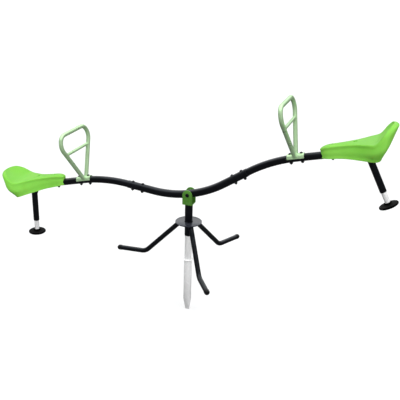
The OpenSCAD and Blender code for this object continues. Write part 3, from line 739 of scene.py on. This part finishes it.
def make_saddle(side):
    """A whole saddle on one side of the beam: +1 is the right."""
    mesh = skin_mesh.copy()
    mesh.transform(Matrix.Translation(Vector((SADDLE_NOSE, 0, ARM_MIDDLE)) * MM))
    saddle = in_scene("saddle_moulding", mesh)
    wall = saddle.modifiers.new("Wall", "SOLIDIFY")
    wall.thickness = SADDLE_WALL * MM
    wall.offset = -1
    wall.use_even_offset = False
    baked(saddle)
    carve(saddle, uprights("boss", BOSS_RADIUS, 0, BOSS_TOP), "UNION")
    arm_way = cylinder("arm_way", ARM_RADIUS, (ARM_FROM, 0, ARM_MIDDLE),
                       (ARM_TO, 0, ARM_MIDDLE))
    recesses = uprights("recess", RECESS_RADIUS, RECESS_FLOOR, WELL_ABOVE)
    holes = uprights("hole", HOLE_RADIUS, 0, WELL_ABOVE)
    carve(saddle, [arm_way] + recesses + holes, "DIFFERENCE")
    if side < 0:
        saddle.data.transform(Matrix.Scale(-1, 4, (1, 0, 0)))
        saddle.data.flip_normals()
    saddle.data.transform(beam_frame)
    return saddle


for side, node in ((-1, "seat_left"), (1, "seat_right")):
    saddle = make_saddle(side)
    saddle.name = node + "_moulding"
    saddle.data.materials.clear()
    saddle.data.materials.append(seat_lime)
    shade(saddle.data, sharp_degrees=38)
    dress_as(saddle, "beam", node)
    print(saddle.name, len(saddle.data.polygons), "faces")

# %% [markdown]
# ## Weld beads
#
# Wherever two tubes meet, a welder has run a bead around the joint: a chain of small
# overlapping scales, each a little different. The joint's path comes from geometry,
# as the line where two round tubes cut each other, so the beads sit where they must.
# A curve with a thickness would give a smooth cord there, without scales. So a node tree
# walks along the path and lays one flattened scale at every step.

# %% The bead as a node tree
FLATTENED = (0.95, 1.0, 0.8)
SCALE_SIZES = (0.82, 1.12)            # shares of the bead's size


def plug(tree, node, label, value):
    """Sets a node's input to a plain value, or links a socket to it."""
    if isinstance(value, bpy.types.NodeSocket):
        tree.links.new(value, node.inputs[label])
    else:
        node.inputs[label].default_value = value


def bead_tree():
    """Geometry nodes: path edges in, a chain of small overlapping scales out."""
    tree = bpy.data.node_groups.new("Weld bead", "GeometryNodeTree")
    face = tree.interface
    face.new_socket("Geometry", in_out="INPUT", socket_type="NodeSocketGeometry")
    for label, value in (("Pitch", 0.0016), ("Size", 0.0024)):
        socket = face.new_socket(label, in_out="INPUT", socket_type="NodeSocketFloat")
        socket.default_value = value
    face.new_socket("Seed", in_out="INPUT", socket_type="NodeSocketInt")
    face.new_socket("Material", in_out="INPUT", socket_type="NodeSocketMaterial")
    face.new_socket("Geometry", in_out="OUTPUT", socket_type="NodeSocketGeometry")
    given = tree.nodes.new("NodeGroupInput").outputs

    def add(kind, **values):
        node = tree.nodes.new(kind)
        for label, value in values.items():
            plug(tree, node, label.replace("_", " "), value)
        return node

    path = add("GeometryNodeMeshToCurve", Mesh=given["Geometry"])
    steps = add("GeometryNodeResampleCurve", Curve=path.outputs["Curve"])
    steps.mode = "LENGTH"
    plug(tree, steps, "Length", given["Pitch"])
    scale = add("GeometryNodeMeshUVSphere", Segments=8, Rings=6, Radius=given["Size"])
    flat = add("GeometryNodeTransform", Geometry=scale.outputs["Mesh"], Scale=FLATTENED)
    along = add("GeometryNodeInputTangent")
    turn = add("FunctionNodeAlignEulerToVector", Vector=along.outputs["Tangent"])
    turn.axis = "Z"
    vary = add("FunctionNodeRandomValue", Seed=given["Seed"])
    vary.data_type = "FLOAT"
    vary.inputs[2].default_value, vary.inputs[3].default_value = SCALE_SIZES
    chain = add("GeometryNodeInstanceOnPoints", Points=steps.outputs["Curve"],
                Instance=flat.outputs["Geometry"], Rotation=turn.outputs["Rotation"],
                Scale=vary.outputs[1])
    whole = add("GeometryNodeRealizeInstances", Geometry=chain.outputs["Instances"])
    soft = add("GeometryNodeSetShadeSmooth", Geometry=whole.outputs["Geometry"])
    coated = add("GeometryNodeSetMaterial", Geometry=soft.outputs["Geometry"],
                 Material=given["Material"])
    out = tree.nodes.new("NodeGroupOutput")
    tree.links.new(coated.outputs["Geometry"], out.inputs["Geometry"])
    return tree


weld_tree = bead_tree()
print("tree:", weld_tree.name, "with inputs",
      [i.name for i in weld_tree.interface.items_tree if i.in_out == "INPUT"])

# %% [markdown]
# A path goes in as a wire mesh, which is a ring of points and edges without faces. The
# tree's inputs are set by their identifiers, and the result is made a plain mesh.

# %% Lay beads along closed paths
PITCH_PER_SIZE = 0.65                 # below 1, so that the scales overlap


def closed_paths(name, loops):
    """A wire mesh of closed loops, in metres."""
    points, edges = [], []
    for loop in loops:
        first = len(points)
        points += loop
        edges += [(first + k, first + (k + 1) % len(loop)) for k in range(len(loop))]
    mesh = bpy.data.meshes.new(name)
    mesh.from_pydata(points, edges, [])
    return mesh


def weld(name, body, slot, loops, seed, size=2.4):
    """One piece with a bead round every loop, riding on a body. size is in millimetres."""
    bead = in_scene(name, closed_paths(name, loops))
    walk = bead.modifiers.new("Weld bead", "NODES")
    walk.node_group = weld_tree
    values = {"Pitch": PITCH_PER_SIZE * size * MM, "Size": size * MM, "Seed": seed,
              "Material": finish_of_slot[slot]}
    for socket in weld_tree.interface.items_tree:
        if socket.in_out == "INPUT" and socket.name in values:
            walk[socket.identifier] = values[socket.name]
    baked(bead)
    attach(bead, body)
    print(name, len(loops), "beads,", len(bead.data.polygons), "faces")


def around(place, count=48):
    """A closed loop of points from a function of the angle."""
    return [tuple(place(2 * math.pi * k / count)) for k in range(count)]

# %% [markdown]
# On the base, each leg is let into the disc's underside at a slant, so its joint is an
# ellipse. The post meets the yoke's plate square on, so that joint is a plain ring.

# %% Beads of the base and the swivel
LEG_ANGLES = (184, 304, 64)
POST_RADIUS, PLATE_UNDERSIDE = 18.2, 277.0


def leg_joint(angle):
    """The ellipse where a leg meets the underside of the disc, angle degrees round it."""
    half_across, half_along, off_middle, under = 11.0, 15.3, 36.0, 186.2
    turn = Matrix.Rotation(math.radians(angle), 3, "Z")
    return around(lambda a: turn @ Vector((off_middle + half_along * math.cos(a),
                                           half_across * math.sin(a), under)) * MM)


weld("leg_welds", "base", "black_coat", [leg_joint(a) for a in LEG_ANGLES], seed=3)
post_ring = around(lambda a: Vector((POST_RADIUS * math.cos(a), POST_RADIUS * math.sin(a),
                                     PLATE_UNDERSIDE)) * MM)
weld("yoke_weld", "swivel", "black_coat", [post_ring], seed=5)

# %% [markdown]
# On the beam, the handle's legs lean outwards and land on a curved pad, the crossbar
# runs square between them. Each bumper's tube leans by as much as the beam tips at rest,
# so that it stands upright when its foot is on the ground. Lengths are in millimetres,
# and heights count from the arm's middle.

# %% Beads of the beam
HANDLE_X, HANDLE_LEAN, LEG_FOOT_Y, LEG_RADIUS = 503.0, math.radians(33), 5.93, 9.5
PAD_RADIUS, BAR_RADIUS, BAR_HEIGHT = 19.0, 7.0, 149.0


def on_beam(x, y, height):
    """A point of the beam, height millimetres over the arm's middle, in the scene."""
    return beam_frame @ (Vector((x, y, ARM_MIDDLE + height)) * MM)


def handle_foot(middle, hand):
    """Where a handle's leg meets its pad. hand is +1 or -1 in y."""
    lean_y, lean_z = math.sin(HANDLE_LEAN), math.cos(HANDLE_LEAN)

    def place(a):
        off_y = LEG_FOOT_Y + LEG_RADIUS * math.sin(a) * lean_z
        off_z = -LEG_RADIUS * math.sin(a) * lean_y
        half = off_y * lean_y + off_z * lean_z
        t = -half + math.sqrt(half ** 2 - off_y ** 2 - off_z ** 2 + PAD_RADIUS ** 2)
        return on_beam(middle + LEG_RADIUS * math.cos(a), hand * (off_y + t * lean_y),
                       off_z + t * lean_z)
    return around(place)


def crossbar_end(middle, hand):
    """Where the crossbar meets a handle's leg."""
    def place(a):
        x, height = BAR_RADIUS * math.cos(a), BAR_HEIGHT + BAR_RADIUS * math.sin(a)
        inner = math.sqrt(LEG_RADIUS ** 2 - x ** 2)
        y = LEG_FOOT_Y + (height * math.sin(HANDLE_LEAN) - inner) / math.cos(HANDLE_LEAN)
        return on_beam(middle + x, hand * y, height)
    return around(place)


def bumper_top(side):
    """Where a bumper's tube meets the underside of its arm. side is +1 or -1 in x."""
    middle, tube_radius, arm_radius, lean = 792.0, 14.0, 15.9, rest_tilt

    def place(a):
        y = tube_radius * math.sin(a)
        height = -math.sqrt(arm_radius ** 2 - y ** 2)
        x = middle + (tube_radius * math.cos(a) - height * math.sin(lean)) / math.cos(lean)
        return on_beam(side * x, y, height)
    return around(place)


handles = [(side * HANDLE_X, hand) for side in (-1, 1) for hand in (-1, 1)]
weld("handle_welds", "beam", "handle_green", [handle_foot(*h) for h in handles], seed=7, size=2.0)
weld("crossbar_welds", "beam", "handle_green", [crossbar_end(*h) for h in handles], seed=11,
     size=1.6)
weld("bumper_welds", "beam", "black_coat", [bumper_top(s) for s in (-1, 1)], seed=13)

# %% [markdown]
# ## Floor, light and camera
#
# The seesaw stands as it does in the lawn, with its socket bare, so the floor lies
# just under the socket's tip. It is a plain pale sheet that takes the object's shadow.
# Light Path gives it three faces. Seen straight it is pale and glows a little, so that
# it reads as clean white. To light that bounces off it, it is a dark grey, so that it
# doesn't wash out the underside of the tubes. In reflections it stays dim too, which
# draws a dark lower edge along the tubes.

# %% Floor
GLOW_SEEN, GLOW_MIRRORED = 0.5, 0.06
HALF_SIDE, UNDER_TIP = 40.0, 0.002    # metres
level = cad_low.z - UNDER_TIP
corners = [(x * HALF_SIDE, y * HALF_SIDE, level) for x, y in ((-1, -1), (1, -1), (1, 1), (-1, 1))]
floor_mesh = bpy.data.meshes.new("studio_floor")
floor_mesh.from_pydata(corners, [], [(0, 1, 2, 3)])
floor = in_scene("studio_floor", floor_mesh)
floor_finish, tree, shader, place = finish("pale floor", Roughness=1.0, Specular_IOR_Level=0.0)
rays = tree.nodes.new("ShaderNodeLightPath").outputs
paper = blend_colour(tree, noise(tree, place, 3.0, 2.0), swatch("#b4b5b6"), swatch("#b8b9b9"))
tree.links.new(blend_colour(tree, rays["Is Camera Ray"], swatch("#3a3a3a"), paper),
               shader.inputs["Base Color"])
mirrored = math_node(tree, "MAXIMUM", rays["Is Glossy Ray"], rays["Is Transmission Ray"])
glow = tree.nodes.new("ShaderNodeEmission")
seen_glow = math_node(tree, "MULTIPLY", rays["Is Camera Ray"], GLOW_SEEN)
mirrored_glow = math_node(tree, "MULTIPLY", mirrored, GLOW_MIRRORED)
tree.links.new(math_node(tree, "ADD", seen_glow, mirrored_glow), glow.inputs["Strength"])
both = tree.nodes.new("ShaderNodeAddShader")
tree.links.new(shader.outputs["BSDF"], both.inputs[0])
tree.links.new(glow.outputs["Emission"], both.inputs[1])
tree.links.new(both.outputs["Shader"], tree.nodes["Material Output"].inputs["Surface"])
floor_mesh.materials.append(floor_finish)
print("floor at", round(level, 4))

# %% [markdown]
# Six broad lights, all far away, so that they fall evenly on the whole seesaw and on
# the floor. The strongest two stand to the right and the left, a lower one in front
# opens the skirts that face the viewer, two behind lift the far sides, and a weak one
# hangs overhead. They are soft, and reflections leave them out, so no hot spots appear.
#
# The long highlight on the tubes comes from the world instead: mirrored rays find a
# bright soft ceiling there, a little behind the seesaw. The camera sees plain white,
# and as a light the room adds almost nothing.

# %% Lights and world
SOFTNESS = math.radians(60)           # how wide each light is in the sky
CEILING_TOWARDS = (-0.16, 0.47, 0.87)
CEILING_EDGE = (0.45, 0.8)            # from its dim rim to its bright middle, as cosines
CEILING_DIM, CEILING_BRIGHT, ROOM_LIGHT = 0.1, 1.6, 0.08


def broad_light(name, bearing, height, strength):
    """A distant light from a bearing (0 is the viewer's side) and a height, in degrees."""
    light = bpy.data.lights.new(name, "SUN")
    light.angle = SOFTNESS
    light.energy = strength
    lamp = in_scene(name, light)
    turn, lift = math.radians(bearing), math.radians(height)
    towards = Vector((math.sin(turn) * math.cos(lift), -math.cos(turn) * math.cos(lift),
                      math.sin(lift)))
    lamp.rotation_euler = towards.to_track_quat("Z", "Y").to_euler()
    lamp.visible_glossy = False


for name, bearing, height, strength in (
        ("overhead light", 0, 88, 0.2), ("front light", 0, 15, 1.25),
        ("right light", 60, 30, 1.9), ("left light", -70, 48, 1.9),
        ("right rear light", 120, 40, 0.9), ("left rear light", -120, 40, 0.4)):
    broad_light(name, bearing, height, strength)

world = bpy.data.worlds.new("Studio")
world.use_nodes = True
bpy.context.scene.world = world
tree = world.node_tree
background = tree.nodes["Background"]
background.inputs["Color"].default_value = (1, 1, 1, 1)
rays = tree.nodes.new("ShaderNodeLightPath").outputs
mirrored = math_node(tree, "MAXIMUM", rays["Is Glossy Ray"], rays["Is Transmission Ray"])
towards = tree.nodes.new("ShaderNodeVectorMath")
towards.operation = "DOT_PRODUCT"
towards.inputs[1].default_value = CEILING_TOWARDS
tree.links.new(tree.nodes.new("ShaderNodeTexCoord").outputs["Generated"], towards.inputs[0])
ceiling = spread(tree, towards.outputs["Value"], *CEILING_EDGE, CEILING_DIM, CEILING_BRIGHT)
seen = math_node(tree, "MAXIMUM", rays["Is Camera Ray"],
                 math_node(tree, "MULTIPLY", mirrored, ceiling))
tree.links.new(math_node(tree, "MAXIMUM", seen, ROOM_LIGHT), background.inputs["Strength"])

# %% [markdown]
# The camera stands in front, a metre to the right of the post and higher than the
# beam, and looks down on it and to the left. Its place is a point in metres, and its
# turn is given as three angles: left or right, down, and a slight roll.

# %% Camera
stand = Vector((0.965, -2.666, 1.440))
yaw, down, roll = math.radians(-18.91), math.radians(21.99), math.radians(1.41)
forward = Vector((math.sin(yaw) * math.cos(down), math.cos(yaw) * math.cos(down),
                  -math.sin(down)))
level_right = Vector((math.cos(yaw), -math.sin(yaw), 0))
level_up = level_right.cross(forward)
right = level_right * math.cos(roll) + level_up * math.sin(roll)
up = level_up * math.cos(roll) - level_right * math.sin(roll)
lens = bpy.data.cameras.new("Camera")
lens.lens = 61.8
lens.sensor_width = 36.0
camera = in_scene("Camera", lens)
turn = Matrix((right, up, -forward)).transposed().to_4x4()
camera.matrix_world = Matrix.Translation(stand) @ turn
bpy.context.scene.camera = camera
bpy.context.scene.view_settings.view_transform = "Standard"
print("camera at", tuple(round(v, 3) for v in camera.location))

# %% [markdown]
# ## The last update
#
# The view layer is brought up to date once more.

# %% Update the scene
bpy.context.view_layer.update()
